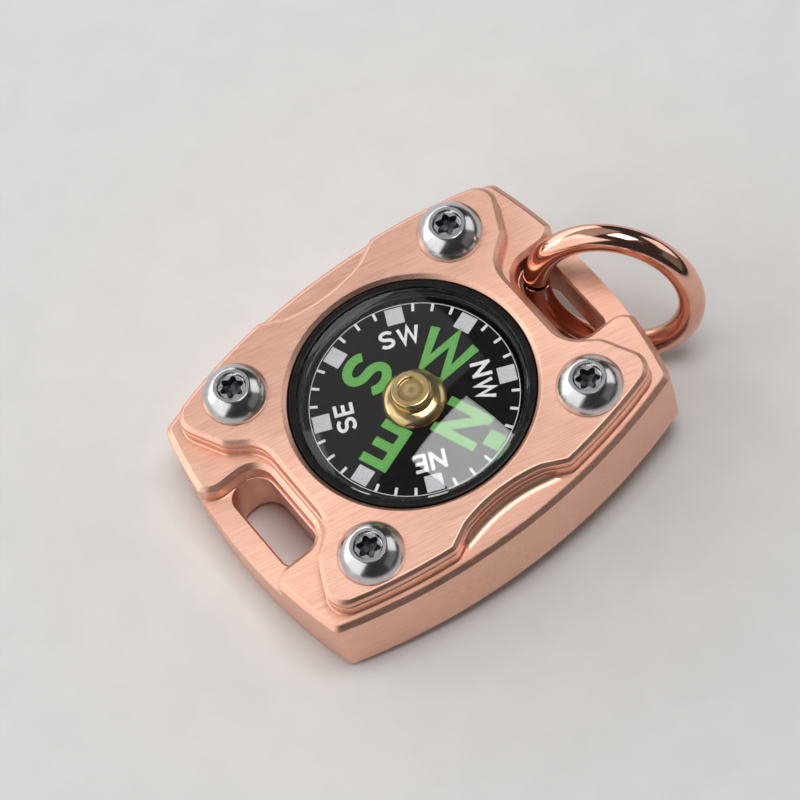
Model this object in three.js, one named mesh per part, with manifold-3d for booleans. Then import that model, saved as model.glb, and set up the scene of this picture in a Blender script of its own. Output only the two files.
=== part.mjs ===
import * as THREE from 'three';
import { mergeVertices } from 'three/addons/utils/BufferGeometryUtils.js';
import Module from 'manifold-3d';

// Luminous compass: a round compass capsule held in a milled copper case by a cover plate
// with four screws, and a jump ring through the slot at one end.
// Millimetres, +Z up, +X towards the ring, origin at the middle of the flat underside.

const wasm = await Module();
wasm.setup();

// Heights, from the underside up
const caseFloor = 1.3;
const padThickness = 0.3;
const cupHeight = 5.6;
const gasketThickness = 0.15;
const coverThickness = 0.8;
const ledgeDrop = 1.8;
const barDrop = 3.4;
const coverUnderside = caseFloor + padThickness + cupHeight;
const coverTop = coverUnderside + coverThickness;
const landTop = coverUnderside - gasketThickness;
const ledgeTop = coverTop - ledgeDrop;
const barTop = coverTop - barDrop;

// Capsule: cup, bezel, seal and domed lens
const cupRadius = 9.1;
const cupWall = 1.35;
const cupFloor = 0.8;
const cupStepDepth = 0.7;
const counterboreWall = 0.3;
const pocketClearance = 0.1;
const padClearance = 0.2;
const boreChamfer = 0.3;
const bezelOuterClearance = 0.1;
const bezelWidth = 0.55;
const bezelTopDrop = 0.25;
const bezelBevel = 0.12;
const lensClearance = 0.1;
const lensThickness = 0.6;
const lensRimDrop = 0.3;
const lensRise = 1.3;
const lensEdgeWidth = 0.3;
const sealSection = 0.26;
const sealClearance = 0.05;
const cavityRadius = cupRadius - cupWall;
const counterboreRadius = cupRadius - counterboreWall;
const boreRadius = counterboreRadius;
const bezelOuterRadius = counterboreRadius - bezelOuterClearance;
const bezelInnerRadius = bezelOuterRadius - bezelWidth;
const lensRadius = bezelInnerRadius - lensClearance;
const cupBottom = caseFloor + padThickness;
const cavityFloor = cupBottom + cupFloor;
const cupStep = coverUnderside - cupStepDepth;
const lensRimTop = coverTop - lensRimDrop;
const lensEdgeBottom = cupStep + sealSection + 2 * sealClearance;

// Slots at both ends, the bars outside them and the channels milled over the bars
const endWall = 1.85;
const slotWidth = 3.15;
const slotHalfLength = 3.9;
const barWidth = 1.8;
const slotInnerRadius = 1.6;
const slotBarRadius = 1.2;
const slotChamfer = 0.3;
const barChamfer = 0.15;
const rimChamfer = 0.35;
const flareReach = 0.9;
const flareRadius = 1.5;
const flareSlope = 1.5;
const slotInnerX = cupRadius + endWall;
const barInnerX = slotInnerX + slotWidth;
const flareX = barInnerX + flareReach;

// Case, seen from above
const sideWall = 3.5;
const sideBowRadius = 46.5;
const endBowRadius = 42;
const caseCornerRadius = 0.9;
const bottomChamfer = 0.4;
const ledgeChamfer = 0.4;
const caseHalfLength = barInnerX + barWidth;
const caseHalfWidth = cupRadius + sideWall;

// Land under the cover plate: waist, shoulders at the screws and scalloped sides
const waistSetback = 0.6;
const waistRadius = 2.5;
const kneeReach = 2.1;
const kneeRise = 1.65;
const kneeRadius = 1.2;
const tipSetback = 1.55;
const tipRadius = 1.5;
const landInset = 0.8;
const scallopHalfLength = 3.2;
const scallopRun = 1.75;
const scallopWall = 1.06;
const scallopRadius = 1.5;
const scallopBowRadius = 12;
const peakRadius = 0.5;
const seamChamfer = 0.1;
const gasketInset = 0.25;
const coverChamfer = 0.3;
const waistHalfLength = slotInnerX - waistSetback;
const waistCornerY = slotHalfLength;
const kneeX = waistHalfLength + kneeReach;
const kneeY = waistCornerY + kneeRise;
const tipX = caseHalfLength - tipSetback;
const peakX = scallopHalfLength + scallopRun;
const scallopMiddleY = cupRadius + scallopWall;

// Cover screws
const screwFromEnd = 6.4;
const screwFromSide = 4.6;
const screwRadius = 1.25;
const screwLength = 5.2;
const screwTipChamfer = 0.3;
const headRadius = 2.35;
const headHeight = 1.45;
const headEdge = 0.25;
const headEdgeChamfer = 0.1;
const headRingWidth = 0.28;
const lobeMeanRadius = 0.75;
const lobeDepth = 0.13;
const lobeCount = 6;
const socketDepth = 1.05;
const socketConeDepth = 0.22;
const socketConeInset = 0.38;
const mouthFlare = 0.27;
const mouthDepth = 0.24;
const coverHoleClearance = 0.15;
const threadClearance = 0.1;
const holeBottomRoom = 0.3;
const screwX = caseHalfLength - screwFromEnd;
const screwY = caseHalfWidth - screwFromSide;
const mouthRadius = lobeMeanRadius + mouthFlare;
const headFlatRadius = mouthRadius + headRingWidth;

// Card with its cap, jewel and magnets
const pivotDrop = 0.6;
const cardClearance = 0.25;
const cardThickness = 0.35;
const cardDropFromPivot = 0.9;
const capNeckRadius = 1.15;
const capNeckLength = 0.5;
const capNeckClearance = 0.1;
const capNeckWall = 0.2;
const capBoreTopRoom = 0.1;
const capFlangeRadius = 2.3;
const capFlangeEdge = 0.12;
const capConeHeight = 0.62;
const capTubeRadius = 1.45;
const capTubeTop = 0.7;
const capRimDrop = 0.25;
const capRimWidth = 0.3;
const capGroove = 0.08;
const recessDepth = 0.22;
const recessFillet = 0.08;
const jewelClearance = 0.1;
const jewelHeight = 0.4;
const jewelRim = 0.25;
const jewelSeatDepth = 0.25;
const jewelSeatRadius = 0.06;
const pivotClearance = 0.04;
const magnetEndRoom = 3.5;
const magnetWidth = 1.3;
const magnetThickness = 0.6;
const magnetOffset = 2.4;
const cardHeadingDeg = -70;
const pivotHeight = coverTop - pivotDrop;
const cardRadius = cavityRadius - cardClearance;
const cardTop = pivotHeight - cardDropFromPivot;
const cardBottom = cardTop - cardThickness;
const magnetLength = 2 * (cardRadius - magnetEndRoom);
const capBoreRadius = capNeckRadius - capNeckWall;
const capRimRadius = capTubeRadius - capRimDrop;
const recessRadius = capRimRadius - capRimWidth;
const jewelRadius = capBoreRadius - jewelClearance;
const jewelMouthRadius = jewelRadius - jewelRim;
const jewelBottom = pivotHeight - jewelSeatDepth;
const jewelTop = jewelBottom + jewelHeight;
const capBoreTop = jewelTop + capBoreTopRoom;

// Pivot post and pin
const postFlangeRadius = 2.4;
const postFlangeHeight = 0.6;
const postRadius = 1;
const postRoom = 1.55;
const pinRadius = 0.35;
const pinTipRadius = 0.04;
const pinFloor = 0.8;
const pinPointLength = 1.36;
const pinClearance = 0.05;
const postTop = cardBottom - postRoom;
const pinBottom = cavityFloor + pinFloor;

// Jump ring, standing in the +X slot as it lies in use
const ringSlotRoom = 1.21;
const ringBarRoom = 2.11;
const ringGap = 0.3;
const ringBarGap = 0.672;
const ringEndGap = 0.21;
const ringDrop = 0.8;
const ringHeadingDeg = -47.6;
const ringLeanDeg = -15;
const ringGapAngleDeg = 174.5;
const ringWireRadius = (slotWidth - ringSlotRoom) / 2;
const ringRadius = Math.hypot(barWidth, barTop) / 2 + ringBarRoom + ringWireRadius;

// How finely round shapes are divided
const largeSides = 56;
const smallSides = 24;
const wireSides = 12;
const wireSteps = 52;
const sealSides = 4;
const filletStep = THREE.MathUtils.degToRad(18);
const bowSteps = 4;
const domeSteps = 4;
const cornerPasses = 6;
const lobeSides = 24;
const lensRings = 4;
const cutOverrun = 0.6;
const weldDistance = 1e-4;

const fullTurn = 2 * Math.PI;
const quarterTurn = Math.PI / 2;

// Materials

function material(color, roughness, metalness) {
  return new THREE.MeshStandardMaterial({ color, roughness, metalness });
}

const brushedCopper = material(0xdd9c80, 0.38, 1);
const roseGoldWire = material(0xc98a6c, 0.12, 1);
const polishedSteel = material(0xc9c9cb, 0.15, 1);
const polishedBrass = material(0xd2a044, 0.2, 1);
const blackMoulding = material(0x151515, 0.35, 0);
const blackRubber = material(0x1b1b1b, 0.8, 0);
const greyFoam = material(0x3c3c3e, 0.9, 0);
const clearLens = material(0xf4f6f6, 0.03, 0);
const blackCard = material(0x121212, 0.6, 0);
const synthRuby = material(0xa8203a, 0.1, 0);
const magnetSteel = material(0x55565a, 0.4, 1);

// Solids from outlines and profiles

function closedGeometry(positions, triangles) {
  const geometry = new THREE.BufferGeometry();
  geometry.setAttribute('position', new THREE.BufferAttribute(new Float32Array(positions), 3));
  geometry.setIndex(triangles);
  return geometry;
}

// Rounds each corner [x, y, radius] of a loop that runs anticlockwise.
function roundedLoop(corners) {
  const points = [];
  corners.forEach(([x, y, radius], index) => {
    const corner = new THREE.Vector2(x, y);
    const [beforeX, beforeY] = corners[(index + corners.length - 1) % corners.length];
    const [afterX, afterY] = corners[(index + 1) % corners.length];
    const incoming = corner.clone().sub(new THREE.Vector2(beforeX, beforeY));
    const outgoing = new THREE.Vector2(afterX, afterY).sub(corner);
    const turn = Math.atan2(incoming.cross(outgoing), incoming.dot(outgoing));
    if (radius === 0 || turn === 0) {
      points.push(corner);
      return;
    }
    const reach = radius * Math.tan(Math.abs(turn) / 2);
    const start = corner.clone().addScaledVector(incoming.normalize(), -reach);
    const side = new THREE.Vector2(-incoming.y, incoming.x).multiplyScalar(Math.sign(turn));
    const centre = start.clone().addScaledVector(side, radius);
    const steps = Math.ceil(Math.abs(turn) / filletStep);
    for (let step = 0; step <= steps; step += 1) {
      points.push(start.clone().rotateAround(centre, (turn * step) / steps));
    }
  });
  return points;
}

// Turns the corners of the first quarter, from +X round to +Y, into the whole loop.
function mirroredQuarter(quarter) {
  const onXAxis = quarter[0][1] === 0;
  const onYAxis = quarter[quarter.length - 1][0] === 0;
  const back = quarter.slice(0, onYAxis ? -1 : undefined).reverse();
  const upper = [...quarter, ...back.map(([x, y, radius]) => [-x, y, radius])];
  const lower = upper.slice(onXAxis ? 1 : 0, onXAxis ? -1 : undefined).reverse();
  return [...upper, ...lower.map(([x, y, radius]) => [x, -y, radius])];
}

// Moves a loop outwards by an even distance.
function grownLoop(loop, distance) {
  return loop.map((point, index) => {
    const before = loop[(index + loop.length - 1) % loop.length];
    const after = loop[(index + 1) % loop.length];
    const first = point.clone().sub(before).normalize();
    const second = after.clone().sub(point).normalize();
    const firstOut = new THREE.Vector2(first.y, -first.x);
    const secondOut = new THREE.Vector2(second.y, -second.x);
    const reach = distance / (1 + firstOut.dot(secondOut));
    return point.clone().addScaledVector(firstOut.add(secondOut), reach);
  });
}

// A loop carried up through levels [z, growth, shift along X].
function slab(loop, levels) {
  const faces = THREE.ShapeUtils.triangulateShape(loop, []);
  const count = loop.length;
  const positions = [];
  for (const [z, growth, shiftX = 0] of levels) {
    for (const point of grownLoop(loop, growth)) {
      positions.push(point.x + shiftX, point.y, z);
    }
  }
  const triangles = [];
  const top = (levels.length - 1) * count;
  for (const [a, b, c] of faces) {
    triangles.push(a, c, b, top + a, top + b, top + c);
  }
  for (let level = 1; level < levels.length; level += 1) {
    for (let index = 0; index < count; index += 1) {
      const low = (level - 1) * count + index;
      const lowNext = (level - 1) * count + ((index + 1) % count);
      triangles.push(low, lowNext, lowNext + count, low, lowNext + count, low + count);
    }
  }
  return closedGeometry(positions, triangles);
}

// A profile of [radius, z] turned about the Z axis.
function turned(profile, sides) {
  const points = profile.map(([radius, z]) => new THREE.Vector2(radius, z));
  return new THREE.LatheGeometry(points, sides).rotateX(quarterTurn);
}

function cylinder(radius, bottom, top, sides) {
  return turned([[0, bottom], [radius, bottom], [radius, top], [0, top]], sides);
}

function washer(inner, outer, bottom, top, sides) {
  return turned([[inner, bottom], [outer, bottom], [outer, top], [inner, top], [inner, bottom]], sides);
}

// A welded copy without spent triangles, its faces pointing out.
function welded(geometry) {
  const bare = geometry.clone();
  bare.deleteAttribute('normal');
  bare.deleteAttribute('uv');
  const merged = mergeVertices(bare, weldDistance);
  const corners = merged.index.array;
  const spots = merged.attributes.position;
  const kept = [];
  let volume = 0;
  for (let index = 0; index < corners.length; index += 3) {
    const [a, b, c] = corners.slice(index, index + 3);
    if (a !== b && b !== c && c !== a) {
      kept.push(a, b, c);
      const [first, second, third] = [a, b, c].map((spot) => {
        return new THREE.Vector3().fromBufferAttribute(spots, spot);
      });
      volume += first.dot(second.cross(third));
    }
  }
  return closedGeometry(spots.array, volume < 0 ? kept.reverse() : kept);
}

function solidOf(geometry) {
  const tidy = welded(geometry);
  const vertProperties = tidy.attributes.position.array;
  const triVerts = Uint32Array.from(tidy.index.array);
  return new wasm.Manifold(new wasm.Mesh({ numProp: 3, vertProperties, triVerts }));
}

function geometryOf(solid) {
  const { vertProperties, triVerts } = solid.getMesh();
  return closedGeometry(vertProperties, Array.from(triVerts));
}

function without(solid, cutters) {
  return cutters.reduce((left, cutter) => left.subtract(solidOf(cutter)), solid);
}

function named(name, geometry, finish) {
  const shown = welded(geometry);
  shown.computeVertexNormals();
  const mesh = new THREE.Mesh(shown, finish);
  mesh.name = name;
  return mesh;
}

// Outlines of the case

function sideBowY(x, inset) {
  const radius = sideBowRadius - inset;
  return caseHalfWidth - inset - (radius - Math.sqrt(radius ** 2 - x ** 2));
}

function endBowX(y) {
  return caseHalfLength - (endBowRadius - Math.sqrt(endBowRadius ** 2 - y ** 2));
}

// Where the long side and the end would meet, found by going back and forth between them.
function caseCorner() {
  let cornerY = caseHalfWidth;
  for (let pass = 0; pass < cornerPasses; pass += 1) {
    cornerY = sideBowY(endBowX(cornerY), 0);
  }
  return [endBowX(cornerY), cornerY];
}

function caseLoop() {
  const [cornerX, cornerY] = caseCorner();
  const quarter = [];
  for (let step = 0; step < bowSteps; step += 1) {
    const y = ((cornerY - 2 * caseCornerRadius) * step) / (bowSteps - 1);
    quarter.push([endBowX(y), y, 0]);
  }
  quarter.push([cornerX, cornerY, caseCornerRadius]);
  for (let step = bowSteps - 1; step >= 0; step -= 1) {
    const x = ((cornerX - 2 * caseCornerRadius) * step) / (bowSteps - 1);
    quarter.push([x, sideBowY(x, 0), 0]);
  }
  return roundedLoop(mirroredQuarter(quarter));
}

function landLoop() {
  const quarter = [
    [waistHalfLength, waistCornerY, waistRadius],
    [kneeX, kneeY, kneeRadius],
    [tipX, sideBowY(tipX, landInset), tipRadius],
  ];
  const firstX = tipX - 2 * tipRadius;
  const lastX = peakX + 2 * peakRadius;
  for (let step = 0; step < bowSteps; step += 1) {
    const x = firstX + ((lastX - firstX) * step) / (bowSteps - 1);
    quarter.push([x, sideBowY(x, landInset), 0]);
  }
  quarter.push([peakX, sideBowY(peakX, landInset), peakRadius]);
  for (let step = bowSteps - 1; step >= 0; step -= 1) {
    const x = (scallopHalfLength * step) / (bowSteps - 1);
    const rise = scallopBowRadius - Math.sqrt(scallopBowRadius ** 2 - x ** 2);
    quarter.push([x, scallopMiddleY + rise, step === bowSteps - 1 ? scallopRadius : 0]);
  }
  return roundedLoop(mirroredQuarter(quarter));
}

function slotLoop() {
  return roundedLoop([
    [barInnerX, -slotHalfLength, slotBarRadius],
    [barInnerX, slotHalfLength, slotBarRadius],
    [slotInnerX, slotHalfLength, slotInnerRadius],
    [slotInnerX, -slotHalfLength, slotInnerRadius],
  ]);
}

function channelLoop() {
  const outX = caseHalfLength + cutOverrun;
  const outHalf = slotHalfLength + (outX - flareX) * flareSlope;
  return roundedLoop([
    [flareX, -slotHalfLength, flareRadius],
    [outX, -outHalf, 0],
    [outX, outHalf, 0],
    [flareX, slotHalfLength, flareRadius],
    [slotInnerX, slotHalfLength, slotInnerRadius],
    [slotInnerX, -slotHalfLength, slotInnerRadius],
  ]);
}

const landOutline = landLoop();
const screwPlaces = [
  ['cover_screw_ring_left', 1, 1],
  ['cover_screw_ring_right', 1, -1],
  ['cover_screw_tail_left', -1, 1],
  ['cover_screw_tail_right', -1, -1],
];

function screwHoles(radius, bottom, top) {
  return screwPlaces.map(([, alongX, alongY]) => {
    return cylinder(radius, bottom, top, smallSides).translate(alongX * screwX, alongY * screwY, 0);
  });
}

// Case

function endCutters() {
  const slot = slab(slotLoop(), [
    [-cutOverrun, slotChamfer],
    [0, slotChamfer],
    [slotChamfer, 0],
    [barTop - barChamfer, 0],
    [barTop, 0, barChamfer],
    [barTop + cutOverrun, 0, barChamfer],
  ]);
  const channel = slab(channelLoop(), [
    [barTop, 0],
    [ledgeTop - rimChamfer, 0],
    [ledgeTop, rimChamfer],
    [ledgeTop + cutOverrun, rimChamfer],
  ]);
  const otherEnd = [slot, channel].map((cutter) => cutter.clone().rotateZ(Math.PI));
  return [slot, channel, ...otherEnd];
}

function caseBase() {
  const body = solidOf(slab(caseLoop(), [
    [0, -bottomChamfer],
    [bottomChamfer, 0],
    [ledgeTop - ledgeChamfer, 0],
    [ledgeTop, -ledgeChamfer],
  ]));
  const land = solidOf(slab(landOutline, [
    [barTop, 0],
    [landTop - seamChamfer, 0],
    [landTop, -seamChamfer],
  ]));
  const pocketRadius = cupRadius + pocketClearance;
  const pocket = cylinder(pocketRadius, caseFloor, coverTop, largeSides);
  const holeBottom = coverTop - screwLength - holeBottomRoom;
  const threads = screwHoles(screwRadius + threadClearance, holeBottom, coverTop);
  return geometryOf(without(body.add(land), [...endCutters(), pocket, ...threads]));
}

function caseCover() {
  const plate = solidOf(slab(landOutline, [
    [coverUnderside, -seamChamfer],
    [coverUnderside + seamChamfer, 0],
    [coverTop - coverChamfer, 0],
    [coverTop, -coverChamfer],
  ]));
  const bore = turned([
    [0, landTop],
    [boreRadius, landTop],
    [boreRadius, coverTop - boreChamfer],
    [boreRadius + boreChamfer, coverTop],
    [boreRadius + boreChamfer, coverTop + cutOverrun],
    [0, coverTop + cutOverrun],
  ], largeSides);
  const holes = screwHoles(screwRadius + coverHoleClearance, landTop, coverTop + cutOverrun);
  return geometryOf(without(plate, [bore, ...holes]));
}

function coverGasket() {
  const sheet = solidOf(slab(landOutline, [
    [landTop, -gasketInset],
    [coverUnderside, -gasketInset],
  ]));
  const opening = cylinder(cupRadius + pocketClearance, barTop, coverTop, largeSides);
  const holes = screwHoles(screwRadius + coverHoleClearance, barTop, coverTop);
  return geometryOf(without(sheet, [opening, ...holes]));
}

// Button-head screw with a six-lobe socket, its seat at z = 0
function coverScrew() {
  const profile = [
    [0, -screwLength],
    [screwRadius - screwTipChamfer, -screwLength],
    [screwRadius, screwTipChamfer - screwLength],
    [screwRadius, 0],
    [headRadius - headEdgeChamfer, 0],
    [headRadius, headEdgeChamfer],
  ];
  const flatSquares = headFlatRadius ** 2 + headHeight ** 2;
  const edgeSquares = headRadius ** 2 + headEdge ** 2;
  const domeCentre = (flatSquares - edgeSquares) / (2 * (headHeight - headEdge));
  const domeRadius = Math.hypot(headRadius, headEdge - domeCentre);
  for (let step = 0; step <= domeSteps; step += 1) {
    const radius = headRadius - ((headRadius - headFlatRadius) * step) / domeSteps;
    profile.push([radius, domeCentre + Math.sqrt(domeRadius ** 2 - radius ** 2)]);
  }
  profile.push([0, headHeight]);
  const lobes = [];
  for (let side = 0; side < lobeSides; side += 1) {
    const angle = (fullTurn * side) / lobeSides;
    const radius = lobeMeanRadius + lobeDepth * Math.cos(lobeCount * angle);
    lobes.push(new THREE.Vector2(radius * Math.cos(angle), radius * Math.sin(angle)));
  }
  const socketFloor = headHeight - socketDepth;
  const socket = slab(lobes, [
    [socketFloor - socketConeDepth, -socketConeInset],
    [socketFloor, 0],
    [headHeight + cutOverrun, 0],
  ]);
  const mouth = turned([
    [0, headHeight - mouthDepth],
    [lobeMeanRadius + lobeDepth, headHeight - mouthDepth],
    [mouthRadius, headHeight],
    [mouthRadius, headHeight + cutOverrun],
    [0, headHeight + cutOverrun],
  ], smallSides);
  return geometryOf(without(solidOf(turned(profile, smallSides)), [socket, mouth]));
}

// Capsule

function capsuleCup() {
  return turned([
    [0, cupBottom],
    [cupRadius, cupBottom],
    [cupRadius, coverUnderside],
    [counterboreRadius, coverUnderside],
    [counterboreRadius, cupStep],
    [cavityRadius, cupStep],
    [cavityRadius, cavityFloor],
    [0, cavityFloor],
  ], largeSides);
}

function capsuleBezel() {
  const top = coverTop - bezelTopDrop;
  return turned([
    [bezelInnerRadius, cupStep],
    [bezelOuterRadius, cupStep],
    [bezelOuterRadius, top - bezelBevel],
    [bezelOuterRadius - bezelBevel, top],
    [bezelInnerRadius + bezelBevel, top],
    [bezelInnerRadius, top - bezelBevel],
    [bezelInnerRadius, cupStep],
  ], largeSides);
}

// Both faces of the lens are domes about one centre.
function capsuleLens() {
  const outerDome = (lensRadius ** 2 + lensRise ** 2) / (2 * lensRise);
  const innerDome = outerDome - lensThickness;
  const domeCentre = lensRimTop + lensRise - outerDome;
  const innerRadius = lensRadius - lensEdgeWidth;
  const profile = [];
  for (let ring = 0; ring <= lensRings; ring += 1) {
    const radius = (innerRadius * ring) / lensRings;
    profile.push([radius, domeCentre + Math.sqrt(innerDome ** 2 - radius ** 2)]);
  }
  profile.push([innerRadius, lensEdgeBottom], [lensRadius, lensEdgeBottom]);
  for (let ring = lensRings; ring >= 0; ring -= 1) {
    const radius = (lensRadius * ring) / lensRings;
    profile.push([radius, domeCentre + Math.sqrt(outerDome ** 2 - radius ** 2)]);
  }
  return turned(profile, largeSides);
}

function lensSeal() {
  const middle = lensRadius - lensEdgeWidth / 2;
  const height = cupStep + sealClearance + sealSection / 2;
  const profile = [];
  for (let side = 0; side <= sealSides; side += 1) {
    const angle = (fullTurn * side) / sealSides;
    const reach = sealSection / 2;
    profile.push([middle + reach * Math.cos(angle), height + reach * Math.sin(angle)]);
  }
  return turned(profile, largeSides);
}

// Pivot

function pivotPost() {
  const flangeTop = cavityFloor + postFlangeHeight;
  const seat = pinRadius + pinClearance;
  return turned([
    [0, cavityFloor],
    [postFlangeRadius, cavityFloor],
    [postFlangeRadius, flangeTop],
    [postRadius, flangeTop],
    [postRadius, postTop],
    [seat, postTop],
    [seat, pinBottom],
    [0, pinBottom],
  ], smallSides);
}

function pivotPin() {
  const tip = pivotHeight - pivotClearance;
  return turned([
    [0, pinBottom],
    [pinRadius, pinBottom],
    [pinRadius, tip - pinPointLength],
    [pinTipRadius, tip],
    [0, tip],
  ], smallSides);
}

// Card and what rides on it

function compassCard() {
  return washer(capNeckRadius + capNeckClearance, cardRadius, cardBottom, cardTop, largeSides);
}

function pivotCap() {
  const neckBottom = cardTop - capNeckLength;
  const coneTop = cardTop + capConeHeight;
  const top = pivotHeight + capTubeTop;
  return turned([
    [capBoreRadius, neckBottom],
    [capNeckRadius, neckBottom],
    [capNeckRadius, cardTop],
    [capFlangeRadius, cardTop],
    [capFlangeRadius, cardTop + capFlangeEdge],
    [capTubeRadius + capGroove, coneTop],
    [capTubeRadius - capGroove, coneTop],
    [capTubeRadius - capGroove, coneTop + capGroove],
    [capTubeRadius, coneTop + 2 * capGroove],
    [capTubeRadius, top - capRimDrop],
    [capTubeRadius - capRimDrop / 3, top - capRimDrop / 3],
    [capRimRadius, top],
    [recessRadius, top],
    [recessRadius, top - recessDepth + recessFillet],
    [recessRadius - recessFillet, top - recessDepth],
    [0, top - recessDepth],
    [0, capBoreTop],
    [capBoreRadius, capBoreTop],
    [capBoreRadius, neckBottom],
  ], smallSides);
}

function pivotJewel() {
  return turned([
    [jewelMouthRadius, jewelBottom],
    [jewelRadius, jewelBottom],
    [jewelRadius, jewelTop],
    [0, jewelTop],
    [0, pivotHeight],
    [jewelSeatRadius, pivotHeight],
    [jewelMouthRadius, jewelBottom],
  ], smallSides);
}

function cardMagnet(side) {
  const bar = new THREE.BoxGeometry(magnetLength, magnetWidth, magnetThickness);
  return bar.translate(0, side * magnetOffset, cardBottom - magnetThickness / 2);
}

// Jump ring, a round wire bent to a circle in its own XZ plane with a butt gap

class RingPath extends THREE.Curve {
  getPoint(share, target = new THREE.Vector3()) {
    const gapAngle = ringGap / ringRadius;
    const start = THREE.MathUtils.degToRad(ringGapAngleDeg) + gapAngle / 2;
    const angle = start + share * (fullTurn - gapAngle);
    return target.set(ringRadius * Math.cos(angle), 0, ringRadius * Math.sin(angle));
  }
}

function lanyardRing() {
  const section = new THREE.Shape();
  for (let side = 0; side < wireSides; side += 1) {
    const angle = (fullTurn * side) / wireSides;
    const corner = [ringWireRadius * Math.cos(angle), ringWireRadius * Math.sin(angle)];
    if (side === 0) {
      section.moveTo(...corner);
    } else {
      section.lineTo(...corner);
    }
  }
  section.closePath();
  return new THREE.ExtrudeGeometry(section, { steps: wireSteps, extrudePath: new RingPath() });
}

// Assembly

function caseParts() {
  const group = new THREE.Group();
  const padRadius = cupRadius - padClearance;
  const pad = cylinder(padRadius, caseFloor, caseFloor + padThickness, largeSides);
  group.add(named('case_base', caseBase(), brushedCopper));
  group.add(named('case_cover', caseCover(), brushedCopper));
  group.add(named('cover_gasket', coverGasket(), blackRubber));
  group.add(named('capsule_pad', pad, greyFoam));
  for (const [name, alongX, alongY] of screwPlaces) {
    const screw = named(name, coverScrew(), polishedSteel);
    screw.position.set(alongX * screwX, alongY * screwY, coverTop);
    group.add(screw);
  }
  return group;
}

function capsuleParts() {
  const group = new THREE.Group();
  group.add(named('capsule_cup', capsuleCup(), blackMoulding));
  group.add(named('capsule_bezel', capsuleBezel(), blackMoulding));
  group.add(named('capsule_lens', capsuleLens(), clearLens));
  group.add(named('lens_seal', lensSeal(), blackRubber));
  group.add(named('pivot_post', pivotPost(), polishedBrass));
  group.add(named('pivot_pin', pivotPin(), polishedSteel));
  return group;
}

function cardParts() {
  const group = new THREE.Group();
  group.rotation.z = THREE.MathUtils.degToRad(cardHeadingDeg);
  group.add(named('compass_card', compassCard(), blackCard));
  group.add(named('pivot_cap', pivotCap(), polishedBrass));
  group.add(named('pivot_jewel', pivotJewel(), synthRuby));
  group.add(named('card_magnet_left', cardMagnet(1), magnetSteel));
  group.add(named('card_magnet_right', cardMagnet(-1), magnetSteel));
  return group;
}

function ringParts() {
  const group = new THREE.Group();
  const heading = THREE.MathUtils.degToRad(ringHeadingDeg);
  const slotX = barInnerX - ringBarGap - ringWireRadius;
  const slotY = slotHalfLength - ringEndGap - ringWireRadius;
  group.position.set(
    slotX + ringRadius * Math.cos(heading),
    slotY + ringRadius * Math.sin(heading),
    barTop - ringDrop,
  );
  group.rotation.z = heading;
  const ring = named('lanyard_ring', lanyardRing(), roseGoldWire);
  ring.rotation.x = THREE.MathUtils.degToRad(ringLeanDeg);
  group.add(ring);
  return group;
}

const compass = new THREE.Group();
compass.add(caseParts(), capsuleParts(), cardParts(), ringParts());

export default compass;
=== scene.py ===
import math

import bmesh
import bpy
from mathutils import Matrix, Vector


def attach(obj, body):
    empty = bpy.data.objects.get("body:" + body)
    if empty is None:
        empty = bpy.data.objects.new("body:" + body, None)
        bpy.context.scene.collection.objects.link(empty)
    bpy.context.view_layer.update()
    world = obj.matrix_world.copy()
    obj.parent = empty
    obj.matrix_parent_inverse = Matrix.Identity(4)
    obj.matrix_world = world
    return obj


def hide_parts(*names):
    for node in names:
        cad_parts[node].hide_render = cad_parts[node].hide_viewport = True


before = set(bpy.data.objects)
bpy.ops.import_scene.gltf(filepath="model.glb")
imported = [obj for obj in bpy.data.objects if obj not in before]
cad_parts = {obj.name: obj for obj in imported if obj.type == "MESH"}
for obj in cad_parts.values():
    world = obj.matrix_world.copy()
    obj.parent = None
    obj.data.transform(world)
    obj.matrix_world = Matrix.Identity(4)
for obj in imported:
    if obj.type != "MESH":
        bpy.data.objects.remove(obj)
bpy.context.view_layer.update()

# A pocket compass: liquid capsule in a milled copper case, closed by a screwed plate, jump ring at one end
# Sizes in the dictionaries are millimetres, +X towards the ring, +Z up, zero at the case's underside
print("frame loaded,", len(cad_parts), "nodes")

mm = 0.001
tiny = 1e-6
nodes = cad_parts

cameraSetup = {
    "azimuth": -108.480,      # degrees, where the camera stands round the part
    "elevation": 62.502,
    "roll": -20.785,
    "distance": 295.394,
    "shift": (0.778, -0.660),  # how far the plate's middle is off the view's axis
    "focal": 4281.38,          # pixels on an image 800 wide
    "aimHeight": 8.0,          # the plate's top
    "image": 800,
    "sensor": 36.0,
    "clip": (0.005, 20),       # metres
}


def setCamera(setup):
    az, el = math.radians(setup["azimuth"]), math.radians(setup["elevation"])
    back = Vector((math.cos(az) * math.cos(el), math.sin(az) * math.cos(el), math.sin(el)))
    right = (-back).cross(Vector((0, 0, 1))).normalized()
    up = right.cross(-back)
    turn = Matrix.Rotation(math.radians(setup["roll"]), 3, back)
    right, up = turn @ right, turn @ up
    across, along = setup["shift"]
    aim = Vector((0, 0, setup["aimHeight"])) - across * right + along * up
    data = bpy.data.cameras.new("photoCamera")
    data.sensor_width = setup["sensor"]
    data.lens = setup["sensor"] * setup["focal"] / setup["image"]
    data.clip_start, data.clip_end = setup["clip"]
    camera = bpy.data.objects.new("photoCamera", data)
    rotation = Matrix((right, up, back)).transposed().to_4x4()
    camera.matrix_world = Matrix.Translation((aim + back * setup["distance"]) * mm) @ rotation
    bpy.context.scene.collection.objects.link(camera)
    bpy.context.scene.camera = camera


setCamera(cameraSetup)
bpy.context.scene.view_settings.view_transform = "Standard"
print("camera set")


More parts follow.
